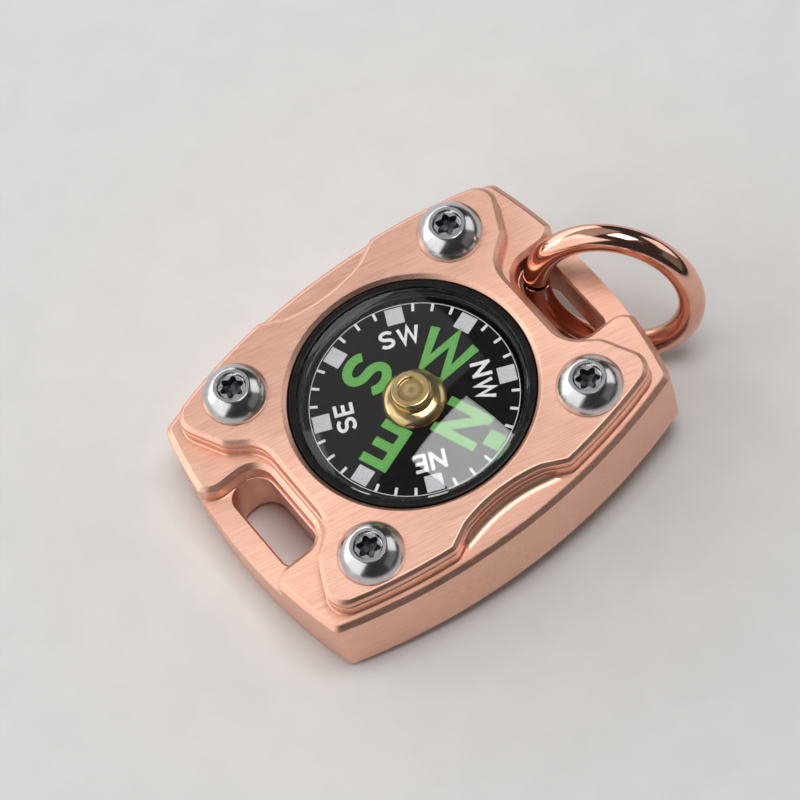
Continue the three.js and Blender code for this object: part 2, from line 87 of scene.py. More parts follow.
def roundedOutline(corners, stepDegrees=4.5):
    # corners are (x, y, radius), anticlockwise
    points = []
    for index, (x, y, radius) in enumerate(corners):
        corner = Vector((x, y))
        before = Vector(corners[index - 1][:2])
        after = Vector(corners[(index + 1) % len(corners)][:2])
        into, out = (corner - before).normalized(), (after - corner).normalized()
        turn = math.atan2(into.x * out.y - into.y * out.x, into.dot(out))
        if radius == 0 or abs(turn) < tiny:
            points.append(corner)
            continue
        start = corner - into * radius * math.tan(abs(turn) / 2)
        centre = start + Vector((-into.y, into.x)) * math.copysign(radius, turn)
        steps = max(1, math.ceil(math.degrees(abs(turn)) / stepDegrees))
        for step in range(steps + 1):
            angle = turn * step / steps
            arm = start - centre
            points.append(centre + Vector((
                arm.x * math.cos(angle) - arm.y * math.sin(angle),
                arm.x * math.sin(angle) + arm.y * math.cos(angle))))
    return points


def mirroredQuarter(quarter):
    # first quarter from +X round to +Y, turned into the whole loop
    onX, onY = quarter[0][1] == 0, quarter[-1][0] == 0
    back = list(reversed(quarter[:-1] if onY else quarter))
    upper = quarter + [(-x, y, radius) for x, y, radius in back]
    lower = list(reversed(upper[1 if onX else 0:len(upper) - 1 if onX else None]))
    return upper + [(x, -y, radius) for x, y, radius in lower]


def grown(outline, distance):
    # the outline moved outwards by that distance, its corners kept sharp
    if not distance:
        return outline
    moved = []
    for index, point in enumerate(outline):
        before, after = outline[index - 1], outline[(index + 1) % len(outline)]
        first, second = (point - before).normalized(), (after - point).normalized()
        firstOut, secondOut = Vector((first.y, -first.x)), Vector((second.y, -second.x))
        moved.append(point + (firstOut + secondOut) * distance / (1 + firstOut.dot(secondOut)))
    return moved


def meshPiece(name, points, faces):
    mesh = bpy.data.meshes.new(name)
    mesh.from_pydata(points, [], faces)
    mesh.validate()
    piece = bpy.data.objects.new(name, mesh)
    bpy.context.scene.collection.objects.link(piece)
    return piece


def outwards(piece):
    build = bmesh.new()
    build.from_mesh(piece.data)
    bmesh.ops.recalc_face_normals(build, faces=build.faces)
    build.to_mesh(piece.data)
    build.free()
    return piece


def slab(name, outline, levels):
    # levels are (z, growth) or (z, growth, shift along X)
    points, faces, count = [], [], len(outline)
    for z, growth, *shift in levels:
        points += [(p.x + (shift[0] if shift else 0), p.y, z) for p in grown(outline, growth)]
    faces.append(list(reversed(range(count))))
    faces.append([(len(levels) - 1) * count + index for index in range(count)])
    for level in range(len(levels) - 1):
        for index in range(count):
            low, lowNext = level * count + index, level * count + (index + 1) % count
            faces.append((low, lowNext, lowNext + count, low + count))
    return outwards(meshPiece(name, points, faces))


def lathe(name, profile, sides=200, centre=(0, 0)):
    # profile is (radius, z); it closes on itself or starts and ends on the axis
    points, faces, rings = [], [], []
    closed = profile[0] == profile[-1]
    for radius, z in profile[:-1] if closed else profile:
        if radius == 0:
            rings.append([len(points)] * sides)
            points.append((centre[0], centre[1], z))
            continue
        rings.append([len(points) + side for side in range(sides)])
        for side in range(sides):
            angle = 2 * math.pi * side / sides
            points.append((centre[0] + radius * math.cos(angle),
                           centre[1] + radius * math.sin(angle), z))
    pairs = list(zip(rings, rings[1:] + (rings[:1] if closed else [])))
    for low, high in pairs:
        for side in range(sides):
            other = (side + 1) % sides
            corners = [low[side], low[other], high[other], high[side]]
            face = [corner for place, corner in enumerate(corners) if corner not in corners[:place]]
            if len(face) > 2:
                faces.append(face)
    return outwards(meshPiece(name, points, faces))


def arcPoints(centreX, centreZ, radius, start, end, steps):
    return [(centreX + radius * math.cos(math.radians(start + (end - start) * step / steps)),
             centreZ + radius * math.sin(math.radians(start + (end - start) * step / steps)))
            for step in range(steps + 1)]


def carried(edge, first, second=0):
    # a small table of edge points, taken to the place of its edge
    return [(first + one, second + two) for one, two in edge]


def joined(piece, others, operation):
    for other in others:
        change = piece.modifiers.new("shape", "BOOLEAN")
        change.operation = operation
        change.solver = "EXACT"
        change.object = other
    shaped = piece.evaluated_get(bpy.context.evaluated_depsgraph_get())
    shaped = bpy.data.meshes.new_from_object(shaped)
    piece.modifiers.clear()
    piece.data = shaped
    for other in others:
        bpy.data.objects.remove(other)


def dressed(piece, material, body, replaced=(), sharpDegrees=14):
    piece.data.transform(Matrix.Scale(mm, 4))  # built in millimetres, kept in metres
    piece.data.materials.clear()
    piece.data.materials.append(material)
    piece.data.shade_smooth()
    piece.data.set_sharp_from_angle(angle=math.radians(sharpDegrees))
    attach(piece, body)
    if replaced:
        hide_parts(*replaced)


def linear(hexColour):
    parts = [int(hexColour[place:place + 2], 16) / 255 for place in (1, 3, 5)]
    return [part / 12.92 if part <= 0.04045 else ((part + 0.055) / 1.055) ** 2.4 for part in parts] + [1]


def addNode(tree, kind, inputs=None, stops=(), **settings):
    # stops are the positions and colours of a colour ramp
    node = tree.nodes.new(kind)
    for name, value in settings.items():
        setattr(node, name, value)
    for name, value in (inputs or {}).items():
        if isinstance(value, bpy.types.NodeSocket):
            tree.links.new(value, node.inputs[name])
        else:
            node.inputs[name].default_value = value
    for _ in stops[2:]:  # a new ramp has two already
        node.color_ramp.elements.new(0.5)
    for element, (position, colour) in zip(node.color_ramp.elements if stops else (), stops):
        element.position = position
        element.color = linear(colour)
    return node


def perMetre(size):
    # how often a pattern of that many millimetres repeats in a metre
    return 1000 / size


def bandsPerMetre(size):
    # a wave texture at scale 1 has 20 bands in tau metres
    return perMetre(size) * math.tau / 20


def startMaterial(name, **shaderValues):
    material = bpy.data.materials.new(name)
    material.use_nodes = True
    tree = material.node_tree
    shader = tree.nodes["Principled BSDF"]
    for label, value in shaderValues.items():
        shader.inputs[label.replace("_", " ")].default_value = value
    place = addNode(tree, "ShaderNodeTexCoord").outputs["Object"]
    return material, tree, shader, place


def finishFrom(tree, shader, pattern, stops=(), rough=(), bump=()):
    # one pattern tints the surface, varies its gloss and gives it relief: rough is the pattern's low and
    # high, then the roughness at each, and bump is the strength and the depth in mm
    if stops:
        tone = addNode(tree, "ShaderNodeValToRGB", {"Fac": pattern}, stops)
        tree.links.new(tone.outputs["Color"], shader.inputs["Base Color"])
    if rough:
        labels = ("From Min", "From Max", "To Min", "To Max")
        gloss = addNode(tree, "ShaderNodeMapRange", {"Value": pattern, **dict(zip(labels, rough))})
        tree.links.new(gloss.outputs["Result"], shader.inputs["Roughness"])
    if bump:
        relief = addNode(tree, "ShaderNodeBump", {
            "Height": pattern, "Strength": bump[0], "Distance": bump[1] * mm})
        tree.links.new(relief.outputs["Normal"], shader.inputs["Normal"])


finishSizes = {               # mm, but for the angle; each pattern's scale comes from its size here
    "brushAngle": -14,        # degrees off the case's length, read off the plate
    "lineWidth": 0.09,        # a real 240 grit line is 0.03, drawn wider so that it shows
    "lineLength": 2.6,
    "handlingPatch": 6.0,
    "platingHaze": 1.4, "wireDent": 0.8,
    "tumbledGrain": 0.5, "socketShadeGrain": 0.3,
    "latheRing": 0.754,       # a real tool's feed is about 0.1, drawn wider so that it shows
    "orangePeel": 0.9, "rubberBloom": 0.4, "foamCell": 0.15,
    "lensDust": 2.2, "rubyVeil": 0.3,
    "sawLine": 0.628,         # a real saw's line is about 0.2, drawn wider so that it shows
    "cardGrain": 0.35, "inkGrain": 0.3,
    "lumeGrain": 0.12,        # grains of zinc sulphide, which show in the luminous prints
    "paperCloud": 3.3333,
}


def brushedCopper():
    # solid copper, milled and brushed lengthwise: pale salmon where it faces the light, fine straight lines
    s = finishSizes
    material, tree, shader, place = startMaterial(
        "copperBrushed", Metallic=1.0, Roughness=0.42, Anisotropic=0.3)
    # a texture mapping turns first and then scales, so the long lines lie at the brush's angle
    turned = addNode(tree, "ShaderNodeMapping", {
        "Vector": place, "Rotation": (0, 0, math.radians(s["brushAngle"])),
        "Scale": (s["lineLength"] * mm, s["lineWidth"] * mm, s["lineWidth"] * mm),
    }, vector_type="TEXTURE")
    lines = addNode(tree, "ShaderNodeTexNoise", {
        "Vector": turned.outputs["Vector"], "Scale": 1.0, "Detail": 3.0, "Roughness": 0.6})
    blotches = addNode(tree, "ShaderNodeTexNoise", {
        "Vector": place, "Scale": perMetre(s["handlingPatch"]), "Detail": 3.0})
    lineTone = addNode(tree, "ShaderNodeValToRGB", {"Fac": lines.outputs["Fac"]}, [
        (0.32, "#e3a991"), (0.5, "#f0bea8"), (0.7, "#fad2bf")])
    blotchTone = addNode(tree, "ShaderNodeValToRGB", {"Fac": blotches.outputs["Fac"]}, [
        (0.35, "#e9b29a"), (0.7, "#f3c3ad")])
    mixed = addNode(tree, "ShaderNodeMix", {  # 0 is the factor, 6 and 7 are the two colours
        0: 0.35, 6: lineTone.outputs["Color"], 7: blotchTone.outputs["Color"]}, data_type="RGBA")
    tree.links.new(mixed.outputs[2], shader.inputs["Base Color"])
    finishFrom(tree, shader, lines.outputs["Fac"], rough=(0.3, 0.7, 0.36, 0.48), bump=(0.34, 0.01))
    return material


def polishedRoseGold():
    # drawn wire, plated and tumble polished: mirror bright, with a faint haze and shallow dents
    material, tree, shader, place = startMaterial("roseGoldPolished", Metallic=1.0, Roughness=0.12)
    haze = addNode(tree, "ShaderNodeTexNoise", {
        "Vector": place, "Scale": perMetre(finishSizes["platingHaze"]), "Detail": 4.0})
    finishFrom(tree, shader, haze.outputs["Fac"], [(0.3, "#e0a893"), (0.7, "#ecb9a5")],
               (0.3, 0.75, 0.09, 0.16))
    dents = addNode(tree, "ShaderNodeTexNoise", {
        "Vector": place, "Scale": perMetre(finishSizes["wireDent"]), "Detail": 2.0})
    finishFrom(tree, shader, dents.outputs["Fac"], bump=(0.05, 0.02))
    return material


def polishedStainless():
    # cold-headed stainless steel, tumbled bright: mirror dome with a fine, slightly hazy grain
    material, tree, shader, place = startMaterial("stainlessPolished", Metallic=1.0, Roughness=0.19)
    grain = addNode(tree, "ShaderNodeTexNoise", {
        "Vector": place, "Scale": perMetre(finishSizes["tumbledGrain"]), "Detail": 5.0})
    finishFrom(tree, shader, grain.outputs["Fac"], [(0.3, "#c2c1c3"), (0.7, "#d4d3d4")],
               (0.3, 0.7, 0.16, 0.23), (0.04, 0.01))
    return material


def socketShadeStainless():
    # wall and floor of the socket, which a punch forms cold: dull, and painted dark grey as the shade in its
    # hollow, so the star reads dark
    material, tree, shader, place = startMaterial("stainlessSocketPaintedShade", Metallic=1.0, Roughness=0.45)
    scale = addNode(tree, "ShaderNodeTexNoise", {
        "Vector": place, "Scale": perMetre(finishSizes["socketShadeGrain"]), "Detail": 4.0})
    # these dark greys are painted shade, darker than the steel's own colour; the noise only varies them at
    # random
    finishFrom(tree, shader, scale.outputs["Fac"], [(0.35, "#57555a"), (0.7, "#77757a")],
               (0.3, 0.7, 0.38, 0.55))
    return material


def turnedBrass():
    # brass turned on a lathe and left bright: yellow gold, fine rings from the tool
    material, tree, shader, place = startMaterial("brassTurned", Metallic=1.0, Roughness=0.16)
    rings = addNode(tree, "ShaderNodeTexWave", {
        "Vector": place, "Scale": bandsPerMetre(finishSizes["latheRing"]), "Distortion": 0.3, "Detail": 1.0,
    }, wave_type="RINGS", rings_direction="Z")
    finishFrom(tree, shader, rings.outputs["Fac"], [(0.0, "#e3bd78"), (1.0, "#f0d49a")],
               (0.0, 1.0, 0.13, 0.2), (0.06, 0.01))
    return material


def mouldedBlackAbs():
    # black ABS, moulded against a polished tool: deep gloss with a slight orange peel
    material, tree, shader, place = startMaterial(
        "absBlackMoulded", Roughness=0.24, IOR=1.54, Specular_IOR_Level=0.22)
    peel = addNode(tree, "ShaderNodeTexNoise", {
        "Vector": place, "Scale": perMetre(finishSizes["orangePeel"]), "Detail": 2.0})
    finishFrom(tree, shader, peel.outputs["Fac"], [(0.35, "#0d0e0e"), (0.7, "#161718")],
               (0.3, 0.7, 0.2, 0.3), (0.08, 0.02))
    return material


def mouldedNitrile():
    # black nitrile rubber, moulded: dull, with a soft bloom
    material, tree, shader, place = startMaterial("nitrileMoulded", Roughness=0.72, IOR=1.52)
    bloom = addNode(tree, "ShaderNodeTexNoise", {
        "Vector": place, "Scale": perMetre(finishSizes["rubberBloom"]), "Detail": 5.0})
    finishFrom(tree, shader, bloom.outputs["Fac"], [(0.3, "#141414"), (0.75, "#262626")], bump=(0.2, 0.02))
    return material


def cutFoam():
    # grey polyurethane foam, die cut: open cells
    material, tree, shader, place = startMaterial("foamCut", Roughness=0.95, IOR=1.5)
    cells = addNode(tree, "ShaderNodeTexVoronoi", {
        "Vector": place, "Scale": perMetre(finishSizes["foamCell"])})
    finishFrom(tree, shader, cells.outputs["Distance"], [(0.1, "#2a2a2c"), (0.6, "#58585a")],
               bump=(0.5, 0.05))
    return material


def castAcrylic():
    # clear acrylic dome, cast and polished: almost unseen but for its reflections; its index is under
    # acrylic's 1.49, because the liquid wets its inner face and takes that reflection away
    material, tree, shader, place = startMaterial(
        "acrylicCast", Roughness=0.015, IOR=1.38, Transmission_Weight=1.0)
    dust = addNode(tree, "ShaderNodeTexNoise", {
        "Vector": place, "Scale": perMetre(finishSizes["lensDust"]), "Detail": 3.0})
    finishFrom(tree, shader, dust.outputs["Fac"], rough=(0.45, 0.8, 0.0, 0.03))
    shadow = addNode(tree, "ShaderNodeLightPath").outputs["Is Shadow Ray"]  # the dome casts none
    through = addNode(tree, "ShaderNodeBsdfTransparent")
    mixed = addNode(tree, "ShaderNodeMixShader", {
        0: shadow, 1: shader.outputs["BSDF"], 2: through.outputs["BSDF"]})
    tree.links.new(mixed.outputs["Shader"], tree.nodes["Material Output"].inputs["Surface"])
    return material


def screenPrinted(name, stops, roughness, grainSize):
    # ink laid through a mesh screen: flat, slightly uneven in tone, under the capsule's liquid so nearly dull
    material, tree, shader, place = startMaterial(
        name, Roughness=roughness, IOR=1.5, Specular_IOR_Level=0.06)
    grain = addNode(tree, "ShaderNodeTexNoise", {
        "Vector": place, "Scale": perMetre(grainSize), "Detail": 4.0})
    finishFrom(tree, shader, grain.outputs["Fac"], stops, bump=(0.15, 0.01))
    return material


def groundRuby():
    # synthetic ruby, ground and polished: deep clear red
    material, tree, shader, place = startMaterial(
        "rubyGround", Roughness=0.05, IOR=1.76, Transmission_Weight=0.7)
    veil = addNode(tree, "ShaderNodeTexNoise", {
        "Vector": place, "Scale": perMetre(finishSizes["rubyVeil"]), "Detail": 2.0})
    finishFrom(tree, shader, veil.outputs["Fac"], [(0.3, "#8e1530"), (0.7, "#b8233f")])
    return material


def sawnMagnet():
    # magnet steel, sawn and blued: dull grey with uneven saw lines
    material, tree, shader, place = startMaterial("magnetSawn", Metallic=1.0, Roughness=0.42)
    saw = addNode(tree, "ShaderNodeTexWave", {
        "Vector": place, "Scale": bandsPerMetre(finishSizes["sawLine"]), "Distortion": 1.5, "Detail": 2.0,
    }, bands_direction="Z")
    finishFrom(tree, shader, saw.outputs["Fac"], [(0.2, "#4c4d52"), (0.8, "#66676c")], bump=(0.2, 0.01))
    return material


copper = brushedCopper()
roseGold = polishedRoseGold()
stainless = polishedStainless()
socketShade = socketShadeStainless()
brass = turnedBrass()
blackAbs = mouldedBlackAbs()
nitrile = mouldedNitrile()
foam = cutFoam()
acrylic = castAcrylic()
cardBlack = screenPrinted(
    "inkBlackPrinted", [(0.32, "#080808"), (0.68, "#101010")], 0.55, finishSizes["cardGrain"])
inkWhite = screenPrinted(
    "inkWhitePrinted", [(0.32, "#cfcfd0"), (0.68, "#e4e4e4")], 0.6, finishSizes["inkGrain"])
inkGrey = screenPrinted(
    "blockGreyPrinted", [(0.32, "#b4b4b6"), (0.68, "#c6c6c8")], 0.6, finishSizes["lumeGrain"])
lumeGreen = screenPrinted(
    "lumeGreenPrinted", [(0.32, "#529446"), (0.68, "#6ba858")], 0.75, finishSizes["lumeGrain"])
ruby = groundRuby()
magnet = sawnMagnet()
print("materials made")


caseSizes = {
    "halfLength": 15.9, "halfWidth": 12.6,
    "sideBow": 46.5, "endBow": 42.0,     # radii of the bowed sides and ends
    "corner": 0.9,
    "ledge": 6.2, "landTop": 7.05, "barTop": 4.6,
    "pocket": 9.2, "pocketFloor": 1.3,
    "screwX": 9.5, "screwY": 8.0, "threadHole": 1.35, "holeFloor": 2.5,
    "cutTop": 9.0,                        # the drills start above the case
    # softened edges as (height, growth): 0.4 chamfers at the underside and the ledge, then the land's
    "footEdge": [(0, -0.43), (0.03, -0.39), (0.36, -0.04), (0.46, 0)],
    "ledgeEdge": [(-0.46, 0), (-0.36, -0.04), (-0.04, -0.37), (0, -0.45)],
    "landRoot": 0.3, "landSpread": 0.1,   # the land's block starts this far over the bar, this much wider
    "landFoot": [(0.02, 0.1), (0.12, 0)],
    "landEdge": [(-0.12, 0), (-0.04, -0.03), (0, -0.12)],
}
slotSizes = {
    "inner": 10.95, "bar": 14.1, "half": 3.9,
    "innerRadius": 1.6, "barRadius": 1.2,
    "bottomEdge": 0.3, "barEdge": 0.15, "lip": 0.02,
    "flareX": 15.0, "flareRadius": 1.5, "flareSlope": 1.5,
    "overrun": 0.6,                       # how far the cutters run out of the case
    # (height, growth): the fillet at the channel's floor, and a softened 0.35 chamfer at the ledge
    "channelFoot": [(0, -0.12), (0.035, -0.035), (0.12, 0)],
    "channelRim": [(-0.4, 0), (-0.33, 0.03), (-0.03, 0.33), (0.05, 0.44), (0.8, 0.44)],
}
landSizes = {
    "waistX": 10.35, "waistY": 3.9, "waistRadius": 2.5,
    "kneeX": 12.45, "kneeY": 5.55, "kneeRadius": 1.2,
    "tipX": 14.35, "tipRadius": 1.5, "inset": 0.8,
    "peakX": 4.95, "peakRadius": 0.5,
    "scallopX": 3.2, "scallopY": 10.16, "scallopRadius": 1.5,
    "scallopBow": 12.0,                   # radius of the scallop's shallow arc
    "scallopDish": 0.7,                   # the cutter's corner radius, left at the foot of the wall
    "footPast": 0.25, "footInto": 0.02,   # how far the foot runs past the scallop and into the land
    "footBack": 9.3, "footDepth": 0.3, "footSpread": 0.1, "footSkin": 0.001,
}
coverSizes = {
    "bottom": 7.2, "top": 8.0, "bore": 8.8, "screwHole": 1.4,
    "overrun": 1.0,
    # softened edges: (height, growth) at the seam and the top, (growth, height) round the bore
    "seamEdge": [(0, -0.12), (0.03, -0.06), (0.12, 0)],
    "topEdge": [(-0.35, 0), (-0.27, -0.03), (-0.03, -0.27), (0, -0.35)],
    "boreEdge": [(0, -0.33), (0.03, -0.28), (0.28, -0.03), (0.34, 0.002)],
}
screwPlaces = {
    "cover_screw_ring_left": (1, 1), "cover_screw_ring_right": (1, -1),
    "cover_screw_tail_left": (-1, 1), "cover_screw_tail_right": (-1, -1),
}


def sideY(x, inset=0.0):
    radius = caseSizes["sideBow"] - inset
    return caseSizes["halfWidth"] - inset - (radius - math.sqrt(radius ** 2 - x ** 2))


def endX(y):
    radius = caseSizes["endBow"]
    return caseSizes["halfLength"] - (radius - math.sqrt(radius ** 2 - y ** 2))


def caseOutline(steps=12):
    cornerY = caseSizes["halfWidth"]
    for _ in range(8):  # closes in on the point where side and end meet
        cornerY = sideY(endX(cornerY))
    cornerX, reach = endX(cornerY), 2 * caseSizes["corner"]
    quarter = [(endX((cornerY - reach) * step / steps), (cornerY - reach) * step / steps, 0)
               for step in range(steps + 1)]
    quarter.append((cornerX, cornerY, caseSizes["corner"]))
    quarter += [((cornerX - reach) * step / steps, sideY((cornerX - reach) * step / steps), 0)
                for step in range(steps, -1, -1)]
    return roundedOutline(mirroredQuarter(quarter))


def scallopY(x):
    return landSizes["scallopY"] + landSizes["scallopBow"] - math.sqrt(landSizes["scallopBow"] ** 2 - x ** 2)


def landOutline(steps=10):
    s = landSizes
    quarter = [(s["waistX"], s["waistY"], s["waistRadius"]),
               (s["kneeX"], s["kneeY"], s["kneeRadius"]),
               (s["tipX"], sideY(s["tipX"], s["inset"]), s["tipRadius"])]
    first, last = s["tipX"] - 2 * s["tipRadius"], s["peakX"] + 2 * s["peakRadius"]
    for step in range(steps + 1):
        x = first + (last - first) * step / steps
        quarter.append((x, sideY(x, s["inset"]), 0))
    quarter.append((s["peakX"], sideY(s["peakX"], s["inset"]), s["peakRadius"]))
    for step in range(steps, -1, -1):
        x = s["scallopX"] * step / steps
        quarter.append((x, scallopY(x), s["scallopRadius"] if step == steps else 0))
    return roundedOutline(mirroredQuarter(quarter))


def scallopFeet(steps=12):
    # hollow fillets at the foot of the two scallops, carried in under the land
    s, ledge, reach = landSizes, caseSizes["ledge"], landSizes["scallopDish"]
    ends, spread = s["scallopX"] + s["footPast"], reach + s["footSpread"]
    outline = [Vector((-ends, s["footBack"])), Vector((ends, s["footBack"]))]
    for step in range(2 * steps + 1):
        x = ends * (1 - step / steps)
        outline.append(Vector((x, scallopY(x) - s["footInto"])))
    levels = [(ledge - s["footDepth"], spread), (ledge - s["footSkin"], spread)]
    for step in range(1, steps + 1):
        angle = math.radians(90 * step / steps)
        levels.append((ledge + reach * (1 - math.cos(angle)), reach * (1 - math.sin(angle))))
    feet = [slab("scallopFoot", outline, levels)]
    feet.append(meshPiece("scallopFoot", [tuple(v.co) for v in feet[0].data.vertices],
                          [tuple(p.vertices) for p in feet[0].data.polygons]))
    feet[1].data.transform(Matrix.Rotation(math.pi, 4, "Z"))
    return feet


def slotCutters():
    # the slot, wide at the underside, and over it the channel that leaves the bar low and flares out
    s, bar = slotSizes, caseSizes["barTop"]
    half, lip, past = s["half"], s["lip"], s["overrun"]
    innerEnd = [(s["inner"], half, s["innerRadius"]), (s["inner"], -half, s["innerRadius"])]
    barEnd = [(s["bar"], -half, s["barRadius"]), (s["bar"], half, s["barRadius"])]
    outX = caseSizes["halfLength"] + past
    outHalf = half + (outX - s["flareX"]) * s["flareSlope"]
    channelShape = roundedOutline([
        (s["flareX"], -half, s["flareRadius"]), (outX, -outHalf, 0), (outX, outHalf, 0),
        (s["flareX"], half, s["flareRadius"])] + innerEnd)
    slot = slab("slotCutter", roundedOutline(barEnd + innerEnd), [
        (-past, s["bottomEdge"]), (0, s["bottomEdge"]), (s["bottomEdge"], 0),
        (bar - s["barEdge"], -lip), (bar, -lip, s["barEdge"]), (bar + past, -lip, s["barEdge"])])
    channel = slab("channelCutter", channelShape,
                   carried(s["channelFoot"], bar) + carried(s["channelRim"], caseSizes["ledge"]))
    cutters = [slot, channel]
    for cutter in (slot, channel):  # the same again at the other end
        copy = cutter.copy()
        copy.data = cutter.data.copy()
        copy.data.transform(Matrix.Rotation(math.pi, 4, "Z"))
        bpy.context.scene.collection.objects.link(copy)
        cutters.append(copy)
    return cutters


def roundHole(radius, bottom, top, x, y):
    profile = [(0, bottom), (radius, bottom), (radius, top), (0, top)]
    return lathe("holeCutter", profile, sides=64, centre=(x, y))


def makeCase():
    s = caseSizes
    body = slab("caseBody", caseOutline(), s["footEdge"] + carried(s["ledgeEdge"], s["ledge"]))
    land = slab("caseLand", landOutline(), [(s["barTop"] + s["landRoot"], s["landSpread"])]
                + carried(s["landFoot"], s["ledge"]) + carried(s["landEdge"], s["landTop"]))
    joined(body, [land] + scallopFeet(), "UNION")
    cutters = slotCutters()
    cutters.append(roundHole(s["pocket"], s["pocketFloor"], s["cutTop"], 0, 0))
    for alongX, alongY in screwPlaces.values():
        cutters.append(roundHole(s["threadHole"], s["holeFloor"], s["cutTop"],
                                 alongX * s["screwX"], alongY * s["screwY"]))
    joined(body, cutters, "DIFFERENCE")
    dressed(body, copper, "case", ["case_base"])


def makeCover():
    s = coverSizes
    plate = slab("coverPlate", landOutline(),
                 carried(s["seamEdge"], s["bottom"]) + carried(s["topEdge"], s["top"]))
    low, high = s["bottom"] - s["overrun"], s["top"] + s["overrun"]
    bore = [(s["bore"], low)] + carried(s["boreEdge"], s["bore"], s["top"])
    cutters = [lathe("boreCutter", [(0, low)] + bore + [(bore[-1][0], high), (0, high)])]
    for alongX, alongY in screwPlaces.values():
        cutters.append(roundHole(s["screwHole"], low, high,
                                 alongX * caseSizes["screwX"], alongY * caseSizes["screwY"]))
    joined(plate, cutters, "DIFFERENCE")
    dressed(plate, copper, "case", ["case_cover"])


makeCase()
makeCover()
print("case and cover made")


screwSizes = {
    "head": 2.35, "height": 1.45, "edge": 0.25,
    "rim": 1.3,                # outer radius of the flat ring round the socket
    "shank": 1.25, "length": 5.2, "shankEdge": 0.3,
    "mouth": 1.02, "mouthFloor": 0.9, "mouthDepth": 0.24,
    "lobes": 6, "lobeMean": 0.75, "lobeDepth": 0.13, "socketDepth": 1.1,
    "coneDepth": 0.22, "coneInset": 0.38,             # left by the punch's point
    "overrun": 1.0,
    # softened edges as (growth, height): under the head, at the flat ring and at the socket's mouth
    "brim": [(-0.09, 0), (-0.02, 0.04), (0, 0.1)],
    "rimEdge": [(0.03, -0.02), (-0.02, 0)], "mouthEdge": [(0.03, 0), (0, -0.03)],
    # faces of the socket between these depths take the painted shade
    "paintedShadeDepth": (0.26, 1.4),                      # the socket's faces lie between these depths
    "turns": {"cover_screw_ring_left": 8, "cover_screw_ring_right": 25,
              "cover_screw_tail_left": 47, "cover_screw_tail_right": 12},  # degrees, read off the sockets
}


def makeScrew(name, alongX, alongY, domeSteps=24, lobeSteps=96):
    s = screwSizes
    seat = coverSizes["top"]
    top, end = seat + s["height"], seat - s["length"]
    profile = [(0, end), (s["shank"] - s["shankEdge"], end), (s["shank"], end + s["shankEdge"]),
               (s["shank"], seat)] + carried(s["brim"], s["head"], seat)
    # the dome is a ball about a point on the axis, through the head's edge and the flat ring's edge
    low = s["rim"] ** 2 + s["height"] ** 2 - s["head"] ** 2 - s["edge"] ** 2
    low /= 2 * (s["height"] - s["edge"])
    ball = math.hypot(s["head"], s["edge"] - low)
    first, last = math.atan2(s["edge"] - low, s["head"]), math.atan2(s["height"] - low, s["rim"])
    for step in range(domeSteps):
        angle = first + (last - first) * step / domeSteps
        profile.append((ball * math.cos(angle), seat + low + ball * math.sin(angle)))
    profile += carried(s["rimEdge"], s["rim"], top) + carried(s["mouthEdge"], s["mouth"], top)
    profile += [(s["mouthFloor"], top - s["mouthDepth"]), (0, top - s["mouthDepth"])]
    head = lathe(name + "_steel", profile, sides=128)
    star = []
    for side in range(lobeSteps):
        angle = 2 * math.pi * side / lobeSteps
        radius = s["lobeMean"] + s["lobeDepth"] * math.cos(s["lobes"] * angle)
        star.append(Vector((radius * math.cos(angle), radius * math.sin(angle))))
    floor = top - s["socketDepth"]
    socket = slab("socketCutter", star, [
        (floor - s["coneDepth"], -s["coneInset"]), (floor, 0), (top + s["overrun"], 0)])
    joined(head, [socket], "DIFFERENCE")
    turn = Matrix.Rotation(math.radians(s["turns"][name]), 4, "Z")
    place = Matrix.Translation((alongX * caseSizes["screwX"], alongY * caseSizes["screwY"], 0))
    head.data.transform(place @ turn)
    dressed(head, stainless, "case", [name], sharpDegrees=20)
    # the socket's wall and floor get the second material, painted dark for the shade in the hollow
    head.data.materials.append(socketShade)
    shallow, deep = s["paintedShadeDepth"]
    for face in head.data.polygons:
        middle = face.center / mm
        inside = (middle - place.translation).xy.length < s["mouthFloor"]
        if inside and shallow < top - middle.z < deep:
            face.material_index = 1


for screwName, (alongX, alongY) in screwPlaces.items():
    makeScrew(screwName, alongX, alongY)
print("screws made")


capsuleSizes = {
    "bezelInner": 8.15, "bezelOuter": 8.7, "bezelBottom": 6.5, "bezelTop": 7.75, "bezelRound": 0.12,
    "lens": 8.05, "lensInner": 7.75, "lensBottom": 6.86, "lensRimTop": 7.7, "lensRise": 1.3, "lensThick": 0.6,
    "cup": 9.1, "cupBottom": 1.6, "cupTop": 7.2, "counterbore": 8.8, "step": 6.5,
    "cavity": 7.75, "cavityFloor": 2.4,
    "cupEdge": 0.2, "stepRound": 0.06, "cavityRound": 0.8,
}


def makeBezel():
    s, r = capsuleSizes, capsuleSizes["bezelRound"]
    profile = [(s["bezelInner"], s["bezelBottom"]), (s["bezelOuter"], s["bezelBottom"])]
    profile += arcPoints(s["bezelOuter"] - r, s["bezelTop"] - r, r, 0, 90, 6)
    profile += arcPoints(s["bezelInner"] + r, s["bezelTop"] - r, r, 90, 180, 6)
    profile.append(profile[0])
    bezel = lathe("bezelRing", profile)
    dressed(bezel, blackAbs, "case", ["capsule_bezel"], sharpDegrees=40)


def makeLens(steps=40):
    s = capsuleSizes
    outer = (s["lens"] ** 2 + s["lensRise"] ** 2) / (2 * s["lensRise"])
    inner = outer - s["lensThick"]
    centre = s["lensRimTop"] + s["lensRise"] - outer

    def skin(radius, ball):
        reaches = [radius * step / steps for step in range(steps + 1)]
        return [(reach, centre + math.sqrt(ball ** 2 - reach ** 2)) for reach in reaches]

    profile = skin(s["lensInner"], inner)
    profile += [(s["lensInner"], s["lensBottom"]), (s["lens"], s["lensBottom"])]
    profile += reversed(skin(s["lens"], outer))
    dressed(lathe("lensDome", profile), acrylic, "case", ["capsule_lens"], sharpDegrees=30)


